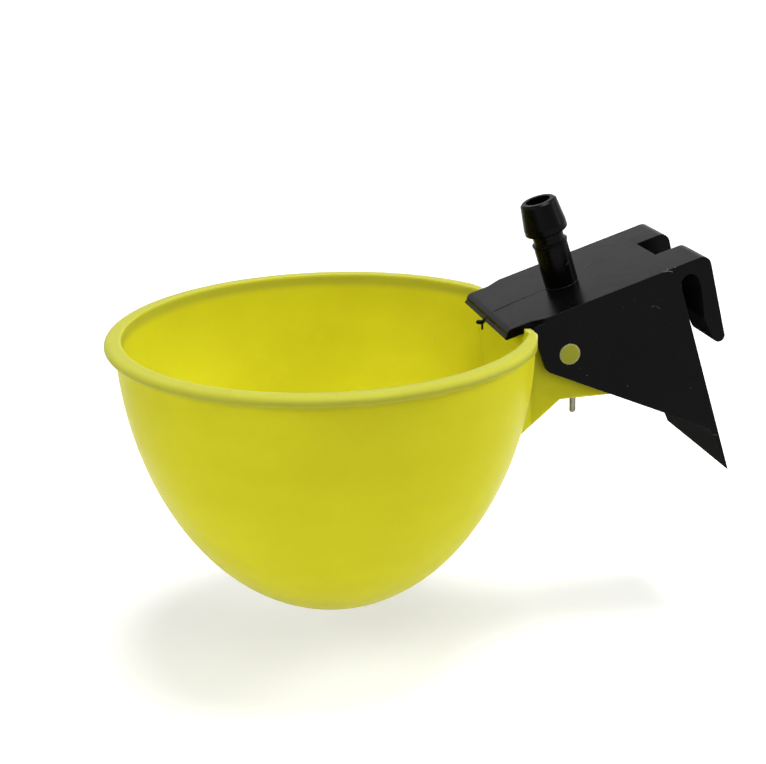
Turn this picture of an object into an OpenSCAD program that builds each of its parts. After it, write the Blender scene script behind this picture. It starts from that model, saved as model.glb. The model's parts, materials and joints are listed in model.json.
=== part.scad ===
// Hanging drinking cup for small poultry.
// A bowl with an arm turns on two trunnions in a clip-on bracket with a hose barb.
// Modelled as seen at rest: bowl level and raised against its stop, bracket leaning back.
// +Z is up along the bowl's axis, +X runs from the bowl to the hooks, Y is the trunnion axis.
// The origin is the centre of the round top of the hook slot, where the cage wire seats.

/* [Bowl] */
// Outer diameter of the rim
rim_d = 86; // [78:1:94]
// How far the rim stands out past the top of the wall
rim_out = 2; // [1.2:0.1:3]
// Height from the rim's top to the bottom of the bowl
bowl_h = 58; // [50:0.5:66]
// Outer diameter of the wall at its widest
bowl_d = 82; // [75:0.5:84]
// Wall thickness of the bowl
bowl_wall = 1.3; // [1.1:0.1:2]
// Width of the level land on top of the rim
rim_land = 2; // [1:0.1:2.2]
// Height of the rim's rolled edge
rim_roll = 2; // [1.6:0.1:2.6]
// Height of the rounding at the top of that edge
rim_round = 1; // [0.6:0.1:1.4]
// Share of that edge that is lost at the ends of the flat side
rim_fade = 0.8; // [0.3:0.05:0.95]
// Angle from the flat side's middle at which the rim starts to narrow
rim_turn = 50; // [42:1:60]
// Distance from the bowl's axis to the outside of its flat side
flat_x = 37.3; // [35.5:0.1:38]
// Half width of the water window in the flat side
window_half = 6; // [3:0.5:9]
// Height of the water window
window_h = 5; // [3:0.5:6]
// Height of the window's sill above the chute
window_sill = 0.4; // [0.2:0.1:1]

/* [Arm] */
// Distance from the flat side to the trunnion axis
pivot_out = 7.7; // [6.5:0.1:9]
// Depth of the trunnion axis below the rim's top
pivot_drop = 5.6; // [5:0.1:7]
// Distance from the trunnion axis to the arm's rear face
arm_rear = 13; // [11:0.5:15]
// Depth of the arm's underside below the trunnion axis
arm_depth = 9.7; // [9:0.1:11]
// Distance that the level underside starts before the trunnion axis
arm_level = 1.3; // [0.5:0.1:2.5]
// Drop of the sloping chute from the level underside to the bowl
chute_drop = 6.5; // [5:0.1:9]
// Length of that slope along X
chute_run = 8; // [6:0.5:9]
// Height of the arm's rear wall above the floor
arm_back = 4; // [2:0.5:6]
// Chamfer at the arm's rear top corner
arm_corner = 1.5; // [0.5:0.1:2.5]
// Chamfer at the rear of the arm's underside
arm_heel = 1; // [0.5:0.1:1.4]
// Wall and floor thickness of the arm
arm_wall = 1.5; // [1.2:0.1:2]
// Radius of the trunnions
trunnion_r = 2.1; // [1.6:0.05:2.6]

/* [Bracket] */
// Lean of the bracket against the raised bowl
tilt = 16.7; // [12:0.1:18]
// Overall width of the bracket
bracket_w = 30.2; // [29:0.2:36]
// Thickness of the two cheeks
cheek_t = 1.45; // [1.2:0.05:2]
// Thickness of the top plate
plate_t = 1.8; // [1.4:0.1:2.4]
// Height of the plate's underside above the trunnion axis
plate_under = 7; // [6.8:0.1:8]
// Depth of the seam along the plate's top
seam_depth = 0.7; // [0.2:0.1:1]
// Reach of the front lip ahead of the trunnion axis
lip_reach = 11.1; // [10.5:0.1:12]
// Setback of the lip's top edge behind its lower edge
lip_setback = 0.5; // [0:0.1:1]
// Radius of the lip's top edge
lip_top_r = 1.4; // [0.4:0.1:1.6]
// Radius of the lip's lower edge
lip_low_r = 0.35; // [0.1:0.05:0.5]
// Distance from the trunnion axis forward to the cheeks' front edge
cheek_front = 5.4; // [4.5:0.1:5.6]
// Depth of the cheeks' front corner below the trunnion axis
cheek_corner = 2.2; // [2:0.1:3]
// Radius of that corner
corner_r = 1.8; // [1:0.1:2.5]
// Distance from the trunnion axis to the back of the rear wall
rear_u = 25.05; // [24:0.1:28]
// Thickness of the rear wall
rear_t = 1.45; // [1.2:0.05:2]
// Depth of the cheeks' rear foot below the trunnion axis
cheek_foot = 27.8; // [26:0.1:30]
// Depth of the rear wall's knife edge below the trunnion axis
tail_depth = 36.8; // [34:0.1:40]

/* [Hooks] */
// Width of the slot's round top, where the cage wire seats
slot_w = 3.92; // [3:0.02:5]
// Depth of the slot's round top centre below the plate's top
slot_drop = 4.35; // [4:0.05:6]
// Thickness of the hooks at the top
hook_t = 3.15; // [2.4:0.05:3.6]
// Thickness of the hooks at the tip
hook_tip_t = 2.5; // [1.8:0.05:2.8]
// Depth of the hooks' tip below the trunnion axis
hook_tip = 9.45; // [7:0.05:12]
// Radius of the hooks' outer top corner
hook_round = 1.9; // [0.5:0.1:2.1]
// Width of the gap between the two hooks
hook_gap = 9.8; // [8:0.2:14]
// Width of the slot's mouth, which the cage wire snaps past
snap_w = 3.05; // [2.5:0.05:3.6]
// Depth of that mouth below the trunnion axis
snap_drop = 3.6; // [2:0.1:5]

/* [Hose barb] */
// Distance from the trunnion axis back to the barb's axis and the valve stem
barb_u = 6.3; // [5.8:0.1:6.6]
// Height of the barb above the plate
barb_h = 17.9; // [14:0.1:22]
// Outer radius of the barb's tube
tube_r = 3.4; // [3.2:0.05:4]
// Radius of the neck under the head
neck_r = 3.1; // [2.9:0.05:3.15]
// Length of the neck
neck_h = 2.1; // [1.5:0.1:3]
// Largest radius of the head
head_r = 4.3; // [4.1:0.05:4.8]
// Radius of the head at its mouth
mouth_r = 3.55; // [3.3:0.05:3.9]
// Length of the head
head_h = 6.6; // [5:0.1:8]
// Length of the straight land at the head's widest
head_land = 1.2; // [1:0.1:1.6]
// Radius of the barb's bore
bore_r = 2.5; // [2:0.05:2.7]
// Height of the bore's floor above the plate
bore_floor = 1; // [0.5:0.1:3]

/* [Valve] */
// Radius of the valve's water hole
seat_bore_r = 1.5; // [1.2:0.05:1.7]
// Outer radius of the valve seat
seat_r = 2.4; // [2.2:0.05:2.5]
// Height of the valve seat under the plate
seat_h = 0.8; // [0.5:0.05:1]
// Radius of the steel stem
stem_r = 0.65; // [0.5:0.05:0.8]
// Length of stem below the arm
stem_out = 8.1; // [5:0.1:10]
// Radius of the stem's collar
collar_r = 1.7; // [1.4:0.05:2]
// Thickness of the stem's collar
collar_t = 0.8; // [0.6:0.05:1]
// Radius of the boss that holds the stem
boss_r = 2; // [1.8:0.05:2.4]
// Height of the boss above the arm's floor
boss_h = 3; // [2:0.1:4]
// Thickness of the rubber seal
seal_h = 2; // [1.6:0.1:2.4]

/* [Return spring] */
// Mean radius of the coil
coil_r = 4.5; // [4.4:0.05:5]
// Radius of the spring wire
wire_r = 0.25; // [0.2:0.05:0.3]
// Turns between the flat end turns
live_turns = 5; // [4:1:6]

/* [Fits] */
// Radial clearance of the trunnions in the cheeks
pin_fit = 0.05; // [0.02:0.01:0.1]
// Gap between the arm's sides and the cheeks
side_gap = 0.27; // [0.2:0.01:0.4]
// Gap between the raised rim and the plate's underside
rim_gap = 0.15; // [0.1:0.01:0.3]
// Gap between the closed seal and its seat
seal_gap = 0.08; // [0.05:0.01:0.15]
// Gap at each end of the return spring
coil_gap = 0.04; // [0.03:0.01:0.06]
// Radial clearance between the stem and what grips it
grip_fit = 0.02; // [0.01:0.01:0.04]

/* [Hidden] */
$fn = 96;
eps = 0.01;
// How far a cutting shape runs past what it cuts
over = 1;

rim_r = rim_d / 2;
bowl_r = bowl_d / 2;
neck_top_r = rim_r - rim_out;
land_r = neck_top_r - bowl_wall + rim_land;
wall_steps = 44;
arc_steps = 6;
pivot_x = flat_x + pivot_out;
pivot_z = -pivot_drop;
half_w = bracket_w / 2;
inside_w = half_w - cheek_t;
arm_half = inside_w - side_gap;
plate_top = plate_under + plate_t;
flat_in = flat_x - bowl_wall;
// The arm's walls start inside the bowl's wall and are cut flush with it
arm_root = flat_in - 2 * arm_wall;

// Height of the plate's underside over a point x in the raised pose
function under_z(x) = pivot_z + plate_under / cos(tilt) + (x - pivot_x) * tan(tilt);
seat_top = under_z(flat_in) - rim_gap;
arm_top = seat_top;
relief_half = inside_w + side_gap;

floor_low = pivot_z - arm_depth;
floor_top = floor_low + arm_wall;
arm_end = pivot_x + arm_rear;
level_x = pivot_x - arm_level;
chute_x = level_x - chute_run;
chute_z = floor_low - chute_drop;
// Shift of a bend's inner side in a floor of even thickness
bend_in = arm_wall * tan(atan(chute_drop / chute_run) / 2);
stem_x = pivot_x + barb_u;

foot_u = rear_u - rear_t;
// The rear wall tapers to its knife edge below the cheeks' foot
tail_points = [[foot_u + 0.2, -cheek_foot], [foot_u + 0.6, -cheek_foot - 2],
               [rear_u - 0.1, -tail_depth], [rear_u, -tail_depth]];
slot_r = slot_w / 2;
slot_u = rear_u + slot_r;
slot_c = plate_top - slot_drop;
hook_in = rear_u + slot_w;
// Radius of the bump that narrows the slot to its mouth
snap_r = 1.5;

// Origin: the wire's seat in the bowl's frame
seat_x = pivot_x + slot_u * cos(tilt) - slot_c * sin(tilt);
seat_z = pivot_z + slot_u * sin(tilt) + slot_c * cos(tilt);

module bowl_frame() { translate([-seat_x, 0, -seat_z]) children(); }
module bracket_frame() {
    bowl_frame() translate([pivot_x, 0, pivot_z]) rotate([0, -tilt, 0]) children();
}
// A flat shape drawn in X and Z, given a thickness centred on Y
module slab(y0, y1) {
    translate([0, y1, 0]) rotate([90, 0, 0]) linear_extrude(y1 - y0) children();
}

// Points of a bowl's side from its bottom up to height z1: half of an upright ellipse of radius r
// and height h, which widens or narrows to the radius top at the rim
function bowl_side(r, top, h, z1) =
    let (a1 = asin(-z1 / h))
    [for (i = [0 : wall_steps]) let (a = 90 - (90 - a1) * i / wall_steps)
        [r * cos(a) + (top - r) * pow(1 - sin(a), 2), -h * sin(a)]];

// Points of an elliptical arc about c, from the angle a0 to the angle a1
function arc(c, rx, rz, a0, a1, n = arc_steps) =
    [for (i = [0 : n]) let (a = a0 + (a1 - a0) * i / n) c + [rx * cos(a), rz * sin(a)]];

module bowl_outside() {
    fillet = 0.7;
    web_r = neck_top_r + fillet / 2;
    rotate_extrude($fn = 180) polygon(concat(
        bowl_side(bowl_r, neck_top_r, bowl_h, -rim_roll - fillet),
        arc([web_r, -rim_round], rim_r - web_r, rim_roll - rim_round, -90, 0),
        arc([land_r, -rim_round], rim_r - land_r, rim_round, 0, 90),
        [[0, 0]]));
}

module bowl_inside() {
    neck_in_r = neck_top_r - bowl_wall;
    rotate_extrude($fn = 180) polygon(concat(
        bowl_side(bowl_r - bowl_wall, neck_in_r, bowl_h - bowl_wall, 0),
        [[neck_in_r, over], [0, over]]));
}

// What the rim loses of its edge towards both ends of the flat side
module rim_ends() {
    out = [cos(rim_turn), sin(rim_turn)];
    end_r = rim_r - rim_fade * rim_out;
    end = [flat_x, sqrt(max(0, end_r * end_r - flat_x * flat_x))];
    // Centre of an arc that meets the rim's circle in the direction out and passes through end
    turn_c = out * (rim_r * rim_r - end * end) / (2 * (rim_r - end * out));
    for (side = [-1, 1]) scale([1, side, 1]) difference() {
        translate([rim_r * out.x, arm_half, -rim_roll - over]) cube([rim_r, rim_r, rim_roll + 2 * over]);
        translate([turn_c.x, turn_c.y, -rim_roll - 2 * over])
            cylinder(r = rim_r - norm(turn_c), h = rim_roll + 4 * over, $fn = 180);
    }
}

// Everything on the bowl's side of the upright plane at x
module before(x) {
    translate([-rim_d, -rim_d, -bowl_h - over]) cube([rim_d + x, 2 * rim_d, bowl_h + 2 * over]);
}

module arm_side() {
    polygon([[arm_root, arm_top], [arm_end - arm_corner, arm_top], [arm_end, arm_top - arm_corner],
             [arm_end, floor_low + arm_heel], [arm_end - arm_heel, floor_low], [level_x, floor_low],
             [chute_x, chute_z], [arm_root, chute_z]]);
}

module arm_floor() {
    polygon([[arm_end - arm_heel, floor_low], [level_x, floor_low], [chute_x, chute_z],
             [arm_root, chute_z], [arm_root, chute_z + arm_wall], [chute_x - bend_in, chute_z + arm_wall],
             [level_x - bend_in, floor_top], [arm_end - arm_wall, floor_top],
             [arm_end - arm_wall, floor_top + arm_back], [arm_end, floor_top + arm_back],
             [arm_end, floor_low + arm_heel]]);
}

module cup() {
    color([0.83, 0.81, 0.12])
    bowl_frame()
    difference() {
        union() {
            difference() {
                intersection() {
                    bowl_outside();
                    before(flat_x);
                }
                rim_ends();
            }
            slab(-arm_half, -arm_half + arm_wall) arm_side();
            slab(arm_half - arm_wall, arm_half) arm_side();
            slab(-arm_half + eps, arm_half - eps) arm_floor();
            translate([stem_x, 0, floor_low + eps]) cylinder(r = boss_r, h = arm_wall + boss_h - eps);
            for (side = [-1, 1]) {
                translate([pivot_x, side * (arm_half - arm_wall / 2), pivot_z]) rotate([-side * 90, 0, 0])
                    cylinder(r = trunnion_r, h = half_w - arm_half + arm_wall / 2);
            }
        }
        intersection() {
            bowl_inside();
            before(flat_in);
        }
        // Relief in the flat side's top, where the plate's lip lies over the rim
        translate([arm_root, -relief_half, seat_top]) cube([rim_r - arm_root, 2 * relief_half, rim_roll]);
        // Window that lets the water run from the arm into the bowl
        translate([flat_in - over, -window_half, chute_z + arm_wall + window_sill])
            cube([bowl_wall + 2 * over, 2 * window_half, window_h]);
        translate([stem_x, 0, floor_low - over])
            cylinder(r = stem_r + grip_fit, h = arm_wall + boss_h + 2 * over);
    }
}

// Front lip, with a face that leans back and rounded edges
module lip_section() {
    lean = 15;
    low_c = [-lip_reach + lip_low_r, plate_under + lip_low_r];
    high_c = [-lip_reach + lip_top_r + lip_setback, plate_top - lip_top_r];
    polygon(concat(
        [[-cheek_front + over, plate_under]],
        arc(low_c, lip_low_r, lip_low_r, 270, 180 - lean, 4),
        arc(high_c, lip_top_r, lip_top_r, 180 - lean, 90),
        [[-cheek_front + over, plate_top]]));
}

module cheek_outline() {
    edge_run = [foot_u - 1.3 + cheek_front, -cheek_foot + 2.2 + cheek_corner];
    edge_slope = atan2(edge_run[1], edge_run[0]);
    corner_c = [-cheek_front + corner_r, -cheek_corner + corner_r * cos(edge_slope)];
    polygon(concat(
        [[-cheek_front, plate_under + plate_t / 2]],
        arc(corner_c, corner_r, corner_r, 180, 270 + edge_slope),
        [[foot_u - 1.3, -cheek_foot + 2.2], [foot_u - 0.4, -cheek_foot + 1.2]],
        tail_points,
        [[rear_u, plate_under + plate_t / 2]]));
}

module rear_section() {
    polygon(concat(
        [[foot_u, plate_under + plate_t / 2], [foot_u, -cheek_foot + 3]],
        tail_points,
        [[rear_u, plate_under + plate_t / 2]]));
}

module hook_section() {
    tip_r = hook_tip_t / 2;
    tip_c = [hook_in + tip_r - 0.15, -hook_tip + tip_r];
    out_u = hook_in + hook_t;
    snap_c = [rear_u + snap_w + snap_r, -snap_drop];
    polygon(concat(
        [[rear_u - over, plate_top]],
        arc([out_u - hook_round, plate_top - hook_round], hook_round, hook_round, 90, 0),
        arc(tip_c, tip_r, tip_r, 10, -172, 10),
        arc(snap_c, snap_r, snap_r, 200, 171, 4),
        [[hook_in, slot_c - slot_r], [hook_in, slot_c], [rear_u - over, slot_c]]));
}

module barb_outside() {
    neck_z = barb_h - head_h - neck_h;
    rotate_extrude() polygon([
        [0, -1], [tube_r, -1], [tube_r, neck_z - 0.5], [tube_r + 0.18, neck_z - 0.4],
        [tube_r + 0.18, neck_z - 0.1], [neck_r, neck_z], [neck_r, barb_h - head_h],
        [head_r - 0.25, barb_h - head_h], [head_r, barb_h - head_h + 0.25],
        [head_r, barb_h - head_h + 0.25 + head_land], [mouth_r + 0.12, barb_h - 0.4],
        [mouth_r - 0.3, barb_h], [0, barb_h]]);
}

// Groove that wanders along the plate from the lip to the barb, where the two halves of the mould met.
// Each row holds a share of that run, how far the groove lies off the middle, and half its width.
module seam() {
    front = -lip_reach + 1.3;
    run = [[0, -1.7, 0.04], [0.09, -1.4, 0.21], [0.27, -0.9, 0.18], [0.44, -0.65, 0.09],
           [0.47, -0.62, 0.2], [0.5, -0.62, 0.08], [1, -0.6, 0.05]];
    there = [for (row = run) [front + row[0] * (barb_u - front), row[1] - row[2]]];
    back = [for (i = [len(run) - 1 : -1 : 0]) [there[i].x, run[i][1] + run[i][2]]];
    linear_extrude(plate_t) polygon(concat(there, back));
}

// Round rod between two points of the bracket's middle plane
module rod(a, b, r) {
    translate([a.x, 0, a.y]) rotate([0, atan2(b.x - a.x, b.y - a.y), 0]) cylinder(r = r, h = norm(b - a), $fn = 24);
    translate([b.x, 0, b.y]) sphere(r = r, $fn = 24);
}

// Torn stub of the moulding gate at the lip's front edge
module gate_stub() {
    root = [-lip_reach + 0.6, plate_under + 0.5];
    bend = [-lip_reach - 0.5, plate_under + 0.05];
    rod(root, bend, 0.38);
    rod(bend, [-lip_reach - 1.3, plate_under + 0.4], 0.42);
    rod(bend, [-lip_reach - 0.9, plate_under - 1.25], 0.22);
}

module bracket() {
    color([0.09, 0.09, 0.09])
    bracket_frame()
    difference() {
        union() {
            difference() {
                union() {
                    slab(-inside_w, inside_w) lip_section();
                    translate([0, 0, plate_under]) linear_extrude(plate_t) polygon([
                        [-cheek_front, -inside_w], [-cheek_front + 2.9, -half_w], [rear_u, -half_w],
                        [rear_u, half_w], [-cheek_front + 2.9, half_w], [-cheek_front, inside_w]]);
                }
                translate([0, 0, plate_top - seam_depth]) seam();
            }
            slab(-half_w, -inside_w) cheek_outline();
            slab(inside_w, half_w) cheek_outline();
            slab(-half_w + eps, half_w - eps) rear_section();
            slab(-half_w, -hook_gap / 2) hook_section();
            slab(hook_gap / 2, half_w) hook_section();
            translate([barb_u, 0, plate_top]) barb_outside();
            translate([barb_u, 0, plate_under - seat_h]) cylinder(r = seat_r, h = seat_h + 1);
            gate_stub();
        }
        // Round top of the slot, where the wire seats
        translate([slot_u, half_w + over, slot_c]) rotate([90, 0, 0])
            cylinder(r = slot_r, h = bracket_w + 2 * over);
        // Holes for the trunnions
        translate([0, half_w + over, 0]) rotate([90, 0, 0])
            cylinder(r = trunnion_r + pin_fit, h = bracket_w + 2 * over);
        // Water way
        translate([barb_u, 0, plate_under - seat_h - over])
            cylinder(r = seat_bore_r, h = plate_t + seat_h + 2 * over + bore_floor);
        translate([barb_u, 0, plate_top + bore_floor]) cylinder(r = bore_r, h = barb_h + over);
    }
}

seal_top = pivot_z + plate_under - seat_h - seal_gap;
boss_top = floor_top + boss_h;
stem_top = seal_top - 0.6;

module valve_stem() {
    color([0.75, 0.75, 0.72])
    bowl_frame() translate([stem_x, 0, 0]) rotate_extrude($fn = 48) polygon([
        [0, floor_low - stem_out], [stem_r - 0.3, floor_low - stem_out + 0.05],
        [stem_r - 0.08, floor_low - stem_out + 0.25], [stem_r, floor_low - stem_out + 0.55],
        [stem_r, boss_top], [collar_r, boss_top], [collar_r, boss_top + collar_t],
        [stem_r, boss_top + collar_t], [stem_r, stem_top], [0, stem_top]]);
}

module valve_seal() {
    color([0.2, 0.2, 0.2])
    bowl_frame() translate([stem_x, 0, seal_top - seal_h]) difference() {
        cylinder(r = seat_r, h = seal_h);
        translate([0, 0, -1]) cylinder(r = stem_r + grip_fit, h = 1 + stem_top - seal_top + seal_h);
    }
}

// Return spring: a coil that leans from the arm's floor to the plate's underside
coil_low = [stem_x, 0, floor_top];
coil_u = barb_u + 0.6;
coil_high = [pivot_x + coil_u * cos(tilt) - plate_under * sin(tilt), 0,
             pivot_z + coil_u * sin(tilt) + plate_under * cos(tilt)];
coil_len = norm(coil_high - coil_low);
end_share = (wire_r + coil_gap) / coil_len;
end_rise = 2.2 * wire_r / coil_len;
turn_steps = 20;
all_turns = live_turns + 2;
rings = all_turns * turn_steps;
wire_sides = 8;
// Share of the spring's length that is reached after n turns
function rise(n) =
    n < 1 ? end_share + end_rise * n
    : n > all_turns - 1 ? 1 - end_share - end_rise * (all_turns - n)
    : end_share + end_rise + (1 - 2 * end_share - 2 * end_rise) * (n - 1) / live_turns;
function coil_point(n, r) =
    let (t = rise(n), a = 360 * n, lean = t * tilt, c = coil_low + (coil_high - coil_low) * t)
    c + [r * cos(a) * cos(lean), r * sin(a), r * cos(a) * sin(lean)];
function unit(v) = v / norm(v);
function wire_ring(i) =
    let (n = i / turn_steps, p = coil_point(n, coil_r), out = unit(coil_point(n, coil_r + 1) - p),
         ahead = unit(coil_point(n + 0.01, coil_r) - coil_point(n - 0.01, coil_r)), side = unit(cross(ahead, out)))
    [for (k = [0 : wire_sides - 1]) let (b = 360 * k / wire_sides) p + wire_r * (cos(b) * out + sin(b) * side)];

module return_spring() {
    points = [for (i = [0 : rings]) each wire_ring(i)];
    skin = [for (i = [0 : rings - 1], k = [0 : wire_sides - 1])
        [i * wire_sides + k, (i + 1) * wire_sides + k,
         (i + 1) * wire_sides + (k + 1) % wire_sides, i * wire_sides + (k + 1) % wire_sides]];
    color([0.7, 0.7, 0.68])
    bowl_frame() polyhedron(points, concat(skin,
        [[for (k = [0 : wire_sides - 1]) k]], [[for (k = [wire_sides - 1 : -1 : 0]) rings * wire_sides + k]]));
}

cup();
bracket();
valve_stem();
valve_seal();
return_spring();
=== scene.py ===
import json
import math

import bpy
from mathutils import Matrix, Vector


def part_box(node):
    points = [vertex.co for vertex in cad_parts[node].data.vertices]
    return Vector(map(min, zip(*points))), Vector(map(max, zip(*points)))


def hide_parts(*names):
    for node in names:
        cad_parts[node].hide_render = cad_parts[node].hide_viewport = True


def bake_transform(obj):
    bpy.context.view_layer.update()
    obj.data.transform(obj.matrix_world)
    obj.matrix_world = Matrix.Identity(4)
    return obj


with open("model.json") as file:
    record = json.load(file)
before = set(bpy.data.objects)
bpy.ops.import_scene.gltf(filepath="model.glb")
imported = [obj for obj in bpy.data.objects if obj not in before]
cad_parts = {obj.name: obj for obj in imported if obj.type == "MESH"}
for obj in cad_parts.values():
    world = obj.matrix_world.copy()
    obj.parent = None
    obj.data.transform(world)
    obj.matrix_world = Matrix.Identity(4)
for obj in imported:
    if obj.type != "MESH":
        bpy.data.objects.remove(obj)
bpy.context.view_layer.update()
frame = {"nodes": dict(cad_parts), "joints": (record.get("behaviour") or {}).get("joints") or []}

MM = 0.001
IMAGE_W, IMAGE_H = 766, 764

# The camera was fitted to the photograph's outlines, about the centre of the bowl's rim
CAMERA_AZIMUTH = math.radians(13.115)
CAMERA_ELEVATION = math.radians(18.723)
CAMERA_ROLL = math.radians(-1.436)
CAMERA_DISTANCE = 299.98 * MM
FOCAL_PX = 1534.9
RIM_CENTRE_PX = (326, 326)
SENSOR_MM = 36

PIVOT = Vector(frame["joints"][0]["pos_m"])
TURN_DEG = frame["joints"][0]["range_deg"][1]
LEAN = math.radians(TURN_DEG)
# The rim's centre and size as the pivot gives them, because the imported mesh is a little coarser
RIM_R = 43 * MM
RIM_CENTRE = PIVOT + Vector((-45, 0, 5.6)) * MM
FLAT_X = 37.3 * MM
CUP_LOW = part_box("cup")[0]
BRACKET_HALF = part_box("bracket")[1].y


def tipped_low_point():
    """Height of the lowest point that the cup reaches when it has tipped all the way down."""
    turn = Matrix.Rotation(LEAN, 3, Vector(frame["joints"][0]["axis"]))
    return min((PIVOT + turn @ (v.co - PIVOT)).z for v in frame["nodes"]["cup"].data.vertices)


FLOOR_Z = tipped_low_point() - 0.5 * MM

# The return spring stands on the arm's floor and leans to the plate's underside
SPRING_FOOT = PIVOT + Vector((6.3, 0, -8.2)) * MM
SPRING_HEAD = PIVOT + Matrix.Rotation(-LEAN, 3, "Y") @ Vector((6.9, 0, 7.0)) * MM
SPRING_R = 4.5 * MM
WIRE_R = 0.25 * MM
SPRING_GAP = 0.04 * MM
LIVE_TURNS = 5
STEPS_A_TURN = 36
WIRE_SIDES = 14


class Sheet:
    """Adds nodes to one node tree and wires them, so that a finish reads as a list of steps."""

    def __init__(self, tree):
        self.tree = tree

    def feed(self, socket, value):
        if isinstance(value, bpy.types.NodeSocket):
            self.tree.links.new(value, socket)
        else:
            socket.default_value = value

    def node(self, kind, values=(), **settings):
        made = self.tree.nodes.new("ShaderNode" + kind)
        for name, setting in settings.items():
            setattr(made, name, setting)
        for socket, value in dict(values).items():
            self.feed(made.inputs[socket], value)
        return made

    def place(self, group, **values):
        """One use of a node group, with its own values; spaces in socket names are written as _."""
        made = self.node("Group", node_tree=group)
        for name, value in values.items():
            self.feed(made.inputs[name.replace("_", " ")], value)
        return made.outputs

    def math(self, operation, a, b=0.0, clamp=False):
        return self.node("Math", {0: a, 1: b}, operation=operation, use_clamp=clamp).outputs[0]

    def vector(self, operation, a, b=(0.0, 0.0, 0.0)):
        made = self.node("VectorMath", {0: a, 1: b}, operation=operation)
        return made.outputs["Value" if operation in ("DOT_PRODUCT", "LENGTH") else "Vector"]

    def scaled(self, a, factor):
        made = self.node("VectorMath", {0: a}, operation="SCALE")
        self.feed(made.inputs["Scale"], factor)
        return made.outputs["Vector"]

    def step(self, value, low, high, start=0.0, end=1.0):
        """A smooth change from start to end as value goes from low to high."""
        limits = {"Value": value, "From Min": low, "From Max": high, "To Min": start, "To Max": end}
        return self.node("MapRange", limits, interpolation_type="SMOOTHSTEP").outputs["Result"]

    def blend(self, share, a, b, way="MIX"):
        made = self.node("Mix", data_type="RGBA", blend_type=way)
        for index, value in ((0, share), (6, a), (7, b)):
            self.feed(made.inputs[index], value)
        return made.outputs[2]

    def noise(self, where, scale, detail=2.0, rough=0.5):
        return self.node("TexNoise", {"Vector": where, "Scale": scale, "Detail": detail,
                                      "Roughness": rough}).outputs["Fac"]


def new_group(name, inputs, outputs):
    """A shader node group with named sockets, its sheet, its inputs and the node that takes its outputs."""
    tree = bpy.data.node_groups.new(name, "ShaderNodeTree")
    for label, kind, value in inputs:
        tree.interface.new_socket(label, in_out="INPUT", socket_type="NodeSocket" + kind).default_value = value
    for label, kind in outputs:
        tree.interface.new_socket(label, in_out="OUTPUT", socket_type="NodeSocket" + kind)
    return tree, Sheet(tree), tree.nodes.new("NodeGroupInput").outputs, tree.nodes.new("NodeGroupOutput").inputs


def cloudy_tone():
    """A soft uneven tone, as pigment and cooling leave in a moulding."""
    group, sheet, given, out = new_group(
        "cloudy_tone",
        [("Place", "Vector", (0, 0, 0)), ("Scale", "Float", 60.0), ("Low", "Float", 0.0), ("High", "Float", 1.0)],
        [("Tone", "Float")])
    cloud = sheet.noise(given["Place"], given["Scale"], 3.0, 0.55)
    sheet.feed(out["Tone"], sheet.step(cloud, 0.3, 0.7, given["Low"], given["High"]))
    return group


def fine_specks():
    """Scattered specks of dust: Share of the cells hold one, and Size is its width against the cell's."""
    group, sheet, given, out = new_group(
        "fine_specks",
        [("Place", "Vector", (0, 0, 0)), ("Scale", "Float", 400.0), ("Size", "Float", 0.2),
         ("Share", "Float", 0.1)],
        [("Mask", "Float")])
    cells = sheet.node("TexVoronoi", {"Vector": given["Place"], "Scale": given["Scale"]})
    chance = sheet.node("SeparateColor", {"Color": cells.outputs["Color"]}).outputs
    size = sheet.math("MULTIPLY", given["Size"], sheet.math("ADD", chance["Green"], 0.3))
    dot = sheet.step(cells.outputs["Distance"], sheet.math("MULTIPLY", size, 0.6), size, 1.0, 0.0)
    sheet.feed(out["Mask"], sheet.math("MULTIPLY", dot, sheet.math("LESS_THAN", chance["Red"], given["Share"])))
    return group


def hairline_scratches():
    """Long faint scratches along the direction that Stretch shrinks, in patches."""
    group, sheet, given, out = new_group(
        "hairline_scratches",
        [("Place", "Vector", (0, 0, 0)), ("Stretch", "Vector", (1, 1, 1)), ("Scale", "Float", 300.0),
         ("Width", "Float", 0.01), ("Share", "Float", 0.4)],
        [("Mask", "Float")])
    drawn_out = sheet.vector("MULTIPLY", given["Place"], given["Stretch"])
    off_line = sheet.math("ABSOLUTE", sheet.math("SUBTRACT", sheet.noise(drawn_out, given["Scale"], 1.0), 0.5))
    line = sheet.step(off_line, 0.0, given["Width"], 1.0, 0.0)
    patch = sheet.noise(given["Place"], sheet.math("MULTIPLY", given["Scale"], 0.8), 1.0)
    bare = sheet.math("SUBTRACT", 0.85, sheet.math("MULTIPLY", given["Share"], 0.6))
    sheet.feed(out["Mask"], sheet.math("MULTIPLY", line, sheet.step(patch, bare, sheet.math("ADD", bare, 0.06))))
    return group


def single_mark():
    """One scratch, nick or dot: the mask is full within Width of the line from Start to End."""
    group, sheet, given, out = new_group(
        "single_mark",
        [("Place", "Vector", (0, 0, 0)), ("Start", "Vector", (0, 0, 0)), ("End", "Vector", (0, 0, 1)),
         ("Width", "Float", 0.1)],
        [("Mask", "Float")])
    run = sheet.vector("SUBTRACT", given["End"], given["Start"])
    reach = sheet.vector("SUBTRACT", given["Place"], given["Start"])
    share = sheet.math("DIVIDE", sheet.vector("DOT_PRODUCT", reach, run), sheet.vector("DOT_PRODUCT", run, run),
                       clamp=True)
    off_line = sheet.vector("LENGTH", sheet.vector("SUBTRACT", reach, sheet.scaled(run, share)))
    sheet.feed(out["Mask"], sheet.step(off_line, sheet.math("MULTIPLY", given["Width"], 0.4), given["Width"],
                                       1.0, 0.0))
    return group


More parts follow.
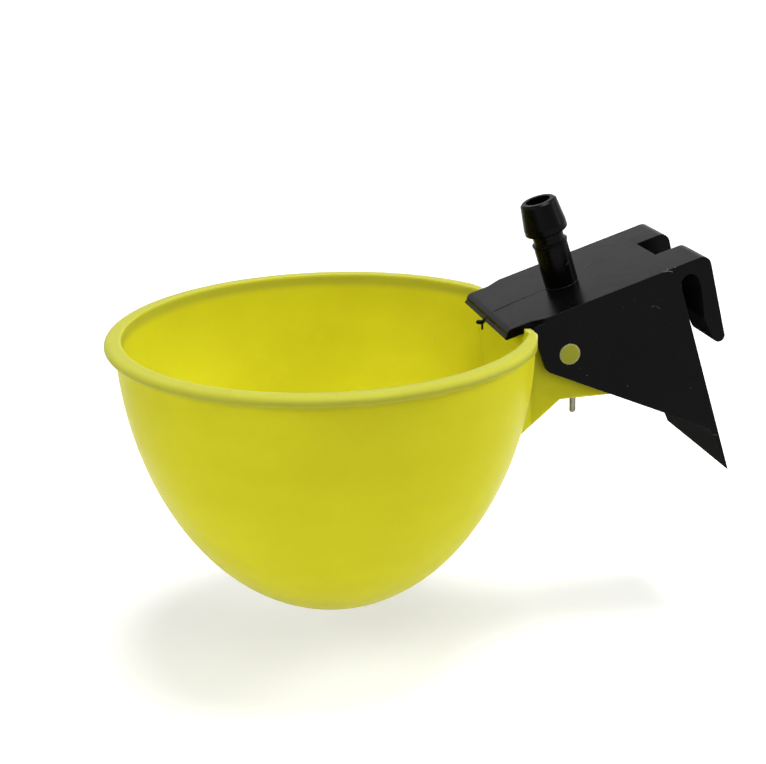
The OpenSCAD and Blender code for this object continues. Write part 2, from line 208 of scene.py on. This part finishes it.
def soft_edges():
    """Edges eased by Radius: their normal, and a mask of where they are, on one side or the other."""
    group, sheet, given, out = new_group(
        "soft_edges", [("Radius", "Float", 0.2 * MM)], [("Normal", "Vector"), ("Mask", "Float")])
    eased = sheet.node("Bevel", {"Radius": given["Radius"]}, samples=6).outputs["Normal"]
    flat = sheet.node("NewGeometry").outputs["Normal"]
    turn = sheet.math("SUBTRACT", 1.0, sheet.vector("DOT_PRODUCT", eased, flat))
    sheet.feed(out["Normal"], eased)
    sheet.feed(out["Mask"], sheet.step(turn, 0.01, 0.2))
    return group


def flow_marks():
    """Faint rings that the melt leaves as it runs away from the gate."""
    group, sheet, given, out = new_group(
        "flow_marks",
        [("Place", "Vector", (0, 0, 0)), ("Gate", "Vector", (0, 0, 0)), ("Spacing", "Float", 4 * MM)],
        [("Tone", "Float")])
    away = sheet.vector("LENGTH", sheet.vector("SUBTRACT", given["Place"], given["Gate"]))
    waver = sheet.math("MULTIPLY", sheet.noise(given["Place"], 55.0, 2.0), 6.0)
    phase = sheet.math("ADD", sheet.math("DIVIDE", sheet.math("MULTIPLY", away, 6.283), given["Spacing"]), waver)
    ring = sheet.math("ADD", sheet.math("MULTIPLY", sheet.math("SINE", phase), 0.5), 0.5)
    sheet.feed(out["Tone"], sheet.math("MULTIPLY", ring, sheet.noise(given["Place"], 35.0, 1.0)))
    return group


CLOUDY_TONE = cloudy_tone()
FINE_SPECKS = fine_specks()
HAIRLINES = hairline_scratches()
SINGLE_MARK = single_mark()
SOFT_EDGES = soft_edges()
FLOW_MARKS = flow_marks()


def new_finish(name, **constants):
    """A material with one Principled shader, whose plain values are set on its own sockets."""
    material = bpy.data.materials.new(name)
    material.use_nodes = True
    sheet = Sheet(material.node_tree)
    shader = material.node_tree.nodes["Principled BSDF"]
    for name, value in constants.items():
        shader.inputs[name.replace("_", " ")].default_value = value
    return material, sheet, shader


def relief(sheet, shader, height, depth, normal):
    """Bumps the surface by a height map, depth metres from its lowest to its highest."""
    bump = sheet.node("Bump", {"Height": height, "Distance": depth, "Strength": 1.0, "Normal": normal})
    sheet.feed(shader.inputs["Normal"], bump.outputs["Normal"])


def yellow_plastic():
    """The bowl's moulding: a slightly translucent lemon yellow, with painted shade and sheen on the rim's top,
    painted highlights along edges, the flat's corner and the pin's end, and painted shade on the arm's side.
    """
    material, sheet, shader = new_finish(
        "cup_yellow_plastic", Subsurface_Weight=0.5, Subsurface_Radius=(1.0, 0.9, 0.15),
        Subsurface_Scale=2.5 * MM, IOR=1.09)
    where = sheet.vector("SUBTRACT", sheet.node("TexCoord").outputs["Object"], tuple(RIM_CENTRE))
    part = sheet.node("SeparateXYZ", {"Vector": where}).outputs
    edges = sheet.place(SOFT_EDGES, Radius=1.0 * MM)
    tone = sheet.place(CLOUDY_TONE, Place=where, Scale=38.0)["Tone"]
    flow = sheet.place(FLOW_MARKS, Place=where, Gate=(0, 0, CUP_LOW.z - RIM_CENTRE.z), Spacing=7 * MM)["Tone"]
    dust = sheet.place(FINE_SPECKS, Place=where, Scale=420.0, Size=0.1, Share=0.02)["Mask"]
    scratch = sheet.place(HAIRLINES, Place=where, Stretch=(1.0, 1.0, 0.12), Scale=240.0, Width=0.005,
                          Share=0.2)["Mask"]
    shade = sheet.node("AmbientOcclusion", {"Distance": 5 * MM}, samples=8).outputs["AO"]

    from_axis = sheet.vector("LENGTH", sheet.vector("MULTIPLY", where, (1, 1, 0)))
    on_land = sheet.step(from_axis, RIM_R - 4.6 * MM, RIM_R - 2.6 * MM)
    rim_shade_and_sheen = sheet.math("MULTIPLY", on_land, sheet.step(part["Z"], -3.4 * MM, -1.4 * MM))
    on_arm = sheet.step(part["X"], FLAT_X + 0.1 * MM, FLAT_X + 0.6 * MM)
    # Painted highlight: a pale line along the corner between the round wall and the flat side
    corner_painted_highlight = sheet.math("MULTIPLY", edges["Mask"], sheet.step(part["X"], FLAT_X - 1.6 * MM, FLAT_X - 0.6 * MM))
    corner_painted_highlight = sheet.math("MULTIPLY", corner_painted_highlight, sheet.math("SUBTRACT", 1.0, on_arm))
    pin_end = sheet.step(sheet.math("ABSOLUTE", part["Y"]), BRACKET_HALF - 0.3 * MM, BRACKET_HALF - 0.1 * MM)
    from_pin = sheet.vector("LENGTH", sheet.vector("MULTIPLY", sheet.vector("SUBTRACT", where, tuple(
        PIVOT - RIM_CENTRE)), (1, 0, 1)))
    on_pin = sheet.math("MULTIPLY", pin_end, sheet.step(from_pin, 2.2 * MM, 2.6 * MM, 1.0, 0.0))
    pin_ring_painted_highlight = sheet.math("MULTIPLY", on_pin, sheet.step(from_pin, 1.65 * MM, 1.95 * MM))

    colour = sheet.blend(tone, (0.61, 0.583, 0.018, 1), (0.65, 0.628, 0.02, 1))
    colour = sheet.blend(sheet.math("MULTIPLY", flow, 0.2), colour, (0.70, 0.67, 0.03, 1))
    # Painted shade and sheen: the rim's top land is made darker and paler than the wall, for less light from above
    # and a soft whitish sheen
    colour = sheet.blend(sheet.math("MULTIPLY", rim_shade_and_sheen, 0.85), colour, (0.36, 0.365, 0.05, 1))
    # Painted highlight: edges are paled a little, for the light they catch
    colour = sheet.blend(sheet.math("MULTIPLY", edges["Mask"], 0.1), colour, (0.62, 0.61, 0.20, 1))
    colour = sheet.blend(sheet.math("MULTIPLY", corner_painted_highlight, 0.6), colour, (0.76, 0.75, 0.45, 1))
    # Painted shade: the arm's flat side is darkened, most where the ambient occlusion finds the cheek close over
    # it
    in_shade = sheet.step(shade, 0.35, 0.95, 1.0, 0.0)
    arm_painted_shade = sheet.math("ADD", 0.2, sheet.math("MULTIPLY", in_shade, 0.4))
    colour = sheet.blend(sheet.math("MULTIPLY", on_arm, arm_painted_shade), colour, (0.12, 0.115, 0.012, 1))
    colour = sheet.blend(sheet.math("MULTIPLY", on_pin, 0.85), colour, (0.26, 0.27, 0.035, 1))
    # Painted highlight: a pale ring glint on the pin's end
    colour = sheet.blend(sheet.math("MULTIPLY", pin_ring_painted_highlight, 0.5), colour, (0.50, 0.50, 0.25, 1))
    colour = sheet.blend(sheet.math("MULTIPLY", dust, 0.3), colour, (0.75, 0.74, 0.55, 1))
    sheet.feed(shader.inputs["Base Color"], colour)

    gloss = sheet.place(CLOUDY_TONE, Place=where, Scale=90.0, Low=0.3, High=0.38)["Tone"]
    gloss = sheet.math("ADD", gloss, sheet.math("MULTIPLY", sheet.math("ADD", scratch, dust), 0.1))
    sheet.feed(shader.inputs["Roughness"], sheet.math("ADD", gloss, sheet.math("MULTIPLY", on_pin, 0.15)))
    skin = sheet.math("ADD", sheet.noise(where, 900.0, 2.0), sheet.math("MULTIPLY", flow, 0.8))
    skin = sheet.math("SUBTRACT", skin, sheet.math("MULTIPLY", scratch, 0.6))
    relief(sheet, shader, skin, 0.003 * MM, edges["Normal"])
    return material


# Marks on the bracket: where each starts and ends, how wide it is, and how pale. In mm in the bracket's own
# frame, along the plate from the pivot, across it, and above the pivot
PLATE_TOP, NEAR_CHEEK = 8.8, -15.1
PALE_MARKS = [
    ((22.2, -15.0, 8.75), (23.2, -15.1, 8.7), 0.104, 0.7),
    ((23.2, -15.1, 8.7), (23.5, -14.5, 8.8), 0.096, 0.5),
    ((23.2, -15.1, 8.7), (24.1, -15.1, 8.15), 0.096, 0.45),
    ((24.8, -15.0, 8.75), (24.9, -14.9, 8.75), 0.152, 0.6),
    ((20.4, -0.6, PLATE_TOP), (20.6, -0.5, PLATE_TOP), 0.112, 0.2),
    ((12.0, 2.7, PLATE_TOP), (13.4, 3.9, PLATE_TOP), 0.096, 0.14),
    ((13.4, 4.0, PLATE_TOP), (14.3, 4.0, PLATE_TOP), 0.08, 0.12),
    ((7.4, -3.2, 13.1), (8.1, -2.9, 13.4), 0.128, 0.1),
    ((18.2, NEAR_CHEEK, 2.95), (18.9, NEAR_CHEEK, 2.85), 0.096, 0.16),
    ((19.2, NEAR_CHEEK, 2.7), (19.8, NEAR_CHEEK, 1.8), 0.08, 0.14),
    ((12.7, NEAR_CHEEK, 5.0), (12.8, NEAR_CHEEK, 5.0), 0.088, 0.12),
    ((2.0, NEAR_CHEEK, -5.5), (2.1, NEAR_CHEEK, -5.5), 0.112, 0.2),
    ((1.1, NEAR_CHEEK, -3.7), (1.2, NEAR_CHEEK, -3.6), 0.096, 0.16),
    ((9.3, NEAR_CHEEK, -10.9), (9.4, NEAR_CHEEK, -11.0), 0.112, 0.22),
    ((21.7, NEAR_CHEEK, -16.4), (21.8, NEAR_CHEEK, -16.5), 0.096, 0.16),
    ((15.1, NEAR_CHEEK, 5.6), (15.3, NEAR_CHEEK, 5.7), 0.08, 0.1),
    ((24.0, NEAR_CHEEK, -28.2), (24.6, NEAR_CHEEK, -28.6), 0.112, 0.2),
]


def black_plastic():
    """The bracket's moulding: a glossy black with dust, fine scratches and a few pale nicks."""
    material, sheet, shader = new_finish("bracket_black_plastic", Specular_IOR_Level=0.06)
    where = sheet.vector("SUBTRACT", sheet.node("TexCoord").outputs["Object"], tuple(PIVOT))
    lean = sheet.node("VectorRotate", {"Vector": where, "Angle": LEAN}, rotation_type="Y_AXIS").outputs[0]
    in_mm = sheet.scaled(lean, 1 / MM)
    facing = sheet.node("VectorRotate", {"Vector": sheet.node("TexCoord").outputs["Normal"], "Angle": LEAN},
                        rotation_type="Y_AXIS").outputs[0]
    faces_front = sheet.step(sheet.node("SeparateXYZ", {"Vector": facing}).outputs["X"], -0.8, -0.5, 1.0, 0.0)
    at_rear = sheet.step(sheet.node("SeparateXYZ", {"Vector": lean}).outputs["X"], 12 * MM, 16 * MM)
    behind = sheet.math("MULTIPLY", faces_front, at_rear)
    edges = sheet.place(SOFT_EDGES, Radius=0.3 * MM)
    tone = sheet.place(CLOUDY_TONE, Place=lean, Scale=70.0)["Tone"]
    flow = sheet.place(FLOW_MARKS, Place=lean, Gate=(-11 * MM, 0, 7 * MM), Spacing=5 * MM)["Tone"]
    dust = sheet.place(FINE_SPECKS, Place=lean, Scale=520.0, Size=0.09, Share=0.16)["Mask"]
    scratch = sheet.place(HAIRLINES, Place=lean, Stretch=(0.15, 1.0, 1.0), Scale=420.0, Width=0.008,
                          Share=0.5)["Mask"]
    marks = 0.0
    for start, end, width, strength in PALE_MARKS:
        mark = sheet.place(SINGLE_MARK, Place=in_mm, Start=start, End=end, Width=width)["Mask"]
        marks = sheet.math("MAXIMUM", marks, sheet.math("MULTIPLY", mark, strength))

    colour = sheet.blend(tone, (0.0005, 0.0005, 0.0005, 1), (0.0014, 0.0013, 0.0013, 1))
    # Partly wear and partly painted highlight: edges are lightened to a dull grey
    colour = sheet.blend(sheet.math("MULTIPLY", edges["Mask"], 0.4), colour, (0.014, 0.014, 0.014, 1))
    colour = sheet.blend(sheet.math("MULTIPLY", dust, 0.25), colour, (0.1, 0.095, 0.09, 1))
    colour = sheet.blend(marks, colour, (0.3, 0.3, 0.3, 1))
    sheet.feed(shader.inputs["Base Color"], colour)

    gloss = sheet.place(CLOUDY_TONE, Place=lean, Scale=130.0, Low=0.2, High=0.3)["Tone"]
    wear = sheet.math("ADD", sheet.math("MULTIPLY", scratch, 0.2), sheet.math("MULTIPLY", edges["Mask"], 0.12))
    wear = sheet.math("ADD", wear, sheet.math("MULTIPLY", sheet.math("ADD", marks, dust), 0.3))
    wear = sheet.math("ADD", wear, sheet.math("MULTIPLY", behind, 0.8))
    sheet.feed(shader.inputs["Roughness"], sheet.math("ADD", gloss, wear, clamp=True))
    skin = sheet.math("ADD", sheet.noise(lean, 1100.0, 2.0), sheet.math("MULTIPLY", flow, 1.5))
    skin = sheet.math("SUBTRACT", skin, sheet.math("ADD", scratch, sheet.math("MULTIPLY", marks, 4.0)))
    relief(sheet, shader, skin, 0.006 * MM, edges["Normal"])
    return material


def drawn_steel(name, along):
    """Drawn wire: fine lines along the wire and a few dull patches. along shrinks the wire's own direction."""
    material, sheet, shader = new_finish(name, Metallic=1.0)
    where = sheet.node("TexCoord").outputs["Object"]
    lines = sheet.noise(sheet.vector("MULTIPLY", where, along), 4000.0, 2.0)
    dull = sheet.place(CLOUDY_TONE, Place=where, Scale=700.0)["Tone"]
    colour = sheet.blend(dull, (0.28, 0.276, 0.225, 1), (0.21, 0.207, 0.17, 1))
    sheet.feed(shader.inputs["Base Color"], colour)
    sheet.feed(shader.inputs["Roughness"], sheet.step(sheet.math("ADD", lines, dull), 0.3, 1.5, 0.3, 0.5))
    relief(sheet, shader, lines, 0.004 * MM, sheet.place(SOFT_EDGES, Radius=0.1 * MM)["Normal"])
    return material


def seal_rubber():
    """The seal's moulded rubber: matte, with a fine grain and a bloom of dust."""
    material, sheet, shader = new_finish("seal_rubber", Specular_IOR_Level=0.4)
    where = sheet.node("TexCoord").outputs["Object"]
    bloom = sheet.place(CLOUDY_TONE, Place=where, Scale=600.0)["Tone"]
    grain = sheet.noise(where, 6000.0, 3.0)
    sheet.feed(shader.inputs["Base Color"], sheet.blend(bloom, (0.012, 0.012, 0.012, 1), (0.03, 0.03, 0.028, 1)))
    sheet.feed(shader.inputs["Roughness"], sheet.step(grain, 0.2, 0.8, 0.62, 0.8))
    relief(sheet, shader, grain, 0.01 * MM, sheet.place(SOFT_EDGES, Radius=0.12 * MM)["Normal"])
    return material


def finish_nodes():
    finishes = {
        "cup": yellow_plastic(),
        "bracket": black_plastic(),
        "valve_stem": drawn_steel("stem_drawn_steel", (1.0, 1.0, 0.02)),
        "valve_seal": seal_rubber(),
    }
    for node, finish in finishes.items():
        slots = frame["nodes"][node].material_slots
        if not slots:
            frame["nodes"][node].data.materials.append(finish)
        for slot in slots:
            slot.material = finish


def coil_share(turns, length):
    """Share of the spring's length reached after some turns, the first and last of which lie flat."""
    margin = (WIRE_R + SPRING_GAP) / length
    flat_rise = 2.2 * WIRE_R / length
    if turns < 1:
        return margin + flat_rise * turns
    if turns > LIVE_TURNS + 1:
        return 1 - margin - flat_rise * (LIVE_TURNS + 2 - turns)
    return margin + flat_rise + (1 - 2 * margin - 2 * flat_rise) * (turns - 1) / LIVE_TURNS


def coil_point(turns, radius):
    """A point of the coil, whose turns lean with the plate more and more from the foot to the head."""
    share = coil_share(turns, (SPRING_HEAD - SPRING_FOOT).length)
    angle = math.tau * turns
    turned = Matrix.Rotation(-LEAN * share, 3, "Y") @ Vector((math.cos(angle), math.sin(angle), 0))
    return SPRING_FOOT.lerp(SPRING_HEAD, share) + radius * turned


def wind_spring():
    """The return spring in round wire, between plate and arm."""
    corners = []
    faces = []
    rings = (LIVE_TURNS + 2) * STEPS_A_TURN
    for ring in range(rings + 1):
        turns = ring / STEPS_A_TURN
        middle = coil_point(turns, SPRING_R)
        out = (coil_point(turns, SPRING_R + WIRE_R) - middle).normalized()
        ahead = (coil_point(turns + 0.01, SPRING_R) - coil_point(turns - 0.01, SPRING_R)).normalized()
        over = ahead.cross(out).normalized()
        for side in range(WIRE_SIDES):
            angle = math.tau * side / WIRE_SIDES
            corners.append(middle + WIRE_R * (math.cos(angle) * out + math.sin(angle) * over))
    for ring in range(rings):
        for side in range(WIRE_SIDES):
            here = ring * WIRE_SIDES + side
            beside = ring * WIRE_SIDES + (side + 1) % WIRE_SIDES
            faces.append((here, beside, beside + WIRE_SIDES, here + WIRE_SIDES))
    faces.append(tuple(reversed(range(WIRE_SIDES))))
    faces.append(tuple(range(rings * WIRE_SIDES, (rings + 1) * WIRE_SIDES)))
    mesh = bpy.data.meshes.new("return_spring_wire")
    mesh.from_pydata(corners, [], faces)
    mesh.polygons.foreach_set("use_smooth", [len(face) == 4 for face in faces])
    mesh.materials.append(drawn_steel("spring_drawn_steel", (0.25, 0.25, 1.0)))
    spring = bpy.data.objects.new("return_spring_wire", mesh)
    bpy.context.scene.collection.objects.link(spring)
    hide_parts("return_spring")
    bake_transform(spring)


def seen_directly(sheet):
    """1 for the rays that show a background: straight from the camera, mirrored or through glass."""
    rays = sheet.node("LightPath").outputs
    mirrored = sheet.math("MAXIMUM", rays["Is Glossy Ray"], rays["Is Transmission Ray"])
    return sheet.math("MAXIMUM", rays["Is Camera Ray"], mirrored)


def lay_floor():
    """A wide pale floor just under the tipped cup. It takes the shadow and shows white where nothing shades it."""
    bpy.ops.mesh.primitive_plane_add(size=8, location=(0, 0, FLOOR_Z))
    floor = bpy.context.object
    floor.name = "floor"
    material, sheet, shader = new_finish("floor_white", Base_Color=(0.75, 0.75, 0.75, 1), Roughness=0.9,
                                         Specular_IOR_Level=0.0, Emission_Color=(1, 1, 1, 1))
    away = sheet.vector("LENGTH", sheet.node("TexCoord").outputs["Object"])
    glow = sheet.step(away, 0.1, 1.1, 0.5, 0.87)
    sheet.feed(shader.inputs["Emission Strength"], sheet.math("MULTIPLY", seen_directly(sheet), glow))
    floor.data.materials.append(material)


def light_studio():
    """A dim white tent of light, and the soft boxes that give the forms their shading."""
    world = bpy.data.worlds.new("studio")
    bpy.context.scene.world = world
    world.use_nodes = True
    sheet = Sheet(world.node_tree)
    background = world.node_tree.nodes["Background"]
    background.inputs["Color"].default_value = (1, 1, 1, 1)
    sheet.feed(background.inputs["Strength"], sheet.step(seen_directly(sheet), 0.0, 1.0, 0.18, 1.0))
    for name, spot, size, watts in (("front_softbox", (0.05, -0.6, 0.55), 0.4, 1.15),
                                    ("left_softbox", (-0.7, -0.25, 0.3), 0.4, 1.65),
                                    ("right_softbox", (0.6, -0.1, 0.42), 0.3, 2.3),
                                    ("low_softbox", (0.68, -0.24, 0.14), 0.25, 0.35),
                                    ("top_softbox", (0.0, -0.1, 0.8), 0.4, 6.7)):
        lamp = bpy.data.lights.new(name, "AREA")
        lamp.shape = "DISK"
        lamp.size = size
        lamp.energy = watts
        lamp_object = bpy.data.objects.new(name, lamp)
        bpy.context.scene.collection.objects.link(lamp_object)
        lamp_object.location = spot
        lamp_object.rotation_mode = "QUATERNION"
        lamp_object.rotation_quaternion = (RIM_CENTRE - Vector(spot)).to_track_quat("-Z", "Y")


def set_camera():
    """Places the camera so that the rim's centre falls on its pixel of the photograph's frame."""
    ahead = Vector((math.sin(CAMERA_AZIMUTH) * math.cos(CAMERA_ELEVATION),
                    math.cos(CAMERA_AZIMUTH) * math.cos(CAMERA_ELEVATION), -math.sin(CAMERA_ELEVATION)))
    level = Vector((math.cos(CAMERA_AZIMUTH), -math.sin(CAMERA_AZIMUTH), 0))
    roll = Matrix.Rotation(-CAMERA_ROLL, 3, ahead)
    right = roll @ level
    up = roll @ level.cross(ahead)
    off_x = (RIM_CENTRE_PX[0] - IMAGE_W / 2) / FOCAL_PX * CAMERA_DISTANCE
    off_y = (IMAGE_H / 2 - RIM_CENTRE_PX[1]) / FOCAL_PX * CAMERA_DISTANCE
    spot = RIM_CENTRE - ahead * CAMERA_DISTANCE - right * off_x - up * off_y

    camera = bpy.data.cameras.new("camera")
    camera.sensor_width = SENSOR_MM
    camera.lens = FOCAL_PX * SENSOR_MM / IMAGE_W
    camera.clip_start = 0.01
    camera_object = bpy.data.objects.new("camera", camera)
    bpy.context.scene.collection.objects.link(camera_object)
    axes = Matrix((right, up, -ahead)).transposed().to_4x4()
    camera_object.matrix_world = Matrix.Translation(spot) @ axes
    bpy.context.scene.camera = camera_object


set_camera()
finish_nodes()
wind_spring()
lay_floor()
light_studio()
bpy.context.scene.view_settings.view_transform = "Standard"
